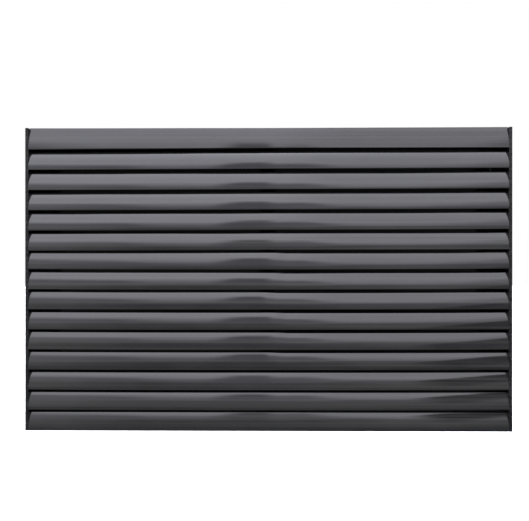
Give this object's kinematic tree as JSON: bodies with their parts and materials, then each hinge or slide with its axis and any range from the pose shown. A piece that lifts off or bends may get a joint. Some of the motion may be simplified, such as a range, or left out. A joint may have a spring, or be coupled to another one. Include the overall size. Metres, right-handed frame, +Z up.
{
  "type": "louvred kick plate",
  "caption": "Rectangular louvred kick plate: gently convex horizontal blades fixed between slim side rails, with a closed top and bottom and threaded fixing points on the back.",
  "frame": {"origin": "centre of the rear mounting plane, midway between the threaded fixing points", "axes": "+X along the blades, -Y out of the front face, +Y into the surface it is fixed to, +Z up"},
  "size_m": [0.61, 0.02, 0.381],
  "materials": {
    "blade_paint": "gloss black coating on aluminium",
    "rail_paint": "gloss black coating on aluminium",
    "mullion_paint": "satin black coating on aluminium",
    "zinc_steel": "zinc plated",
    "rivet_aluminium": "plain"
  },
  "bodies": {
    "root": {"side_rail_left": "rail_paint", "side_rail_right": "rail_paint", "header_blade": "blade_paint", "louvre_blade_02": "blade_paint", "louvre_blade_03": "blade_paint", "louvre_blade_04": "blade_paint", "louvre_blade_05": "blade_paint", "louvre_blade_06": "blade_paint", "louvre_blade_07": "blade_paint", "louvre_blade_08": "blade_paint", "louvre_blade_09": "blade_paint", "louvre_blade_10": "blade_paint", "louvre_blade_11": "blade_paint", "louvre_blade_12": "blade_paint", "louvre_blade_13": "blade_paint", "louvre_blade_14": "blade_paint", "sill_blade": "blade_paint", "centre_mullion": "mullion_paint", "blade_screws_left": "zinc_steel", "blade_screws_right": "zinc_steel", "mullion_rivets": "rivet_aluminium", "mounting_nuts": "zinc_steel"}
  },
  "joints": []
}
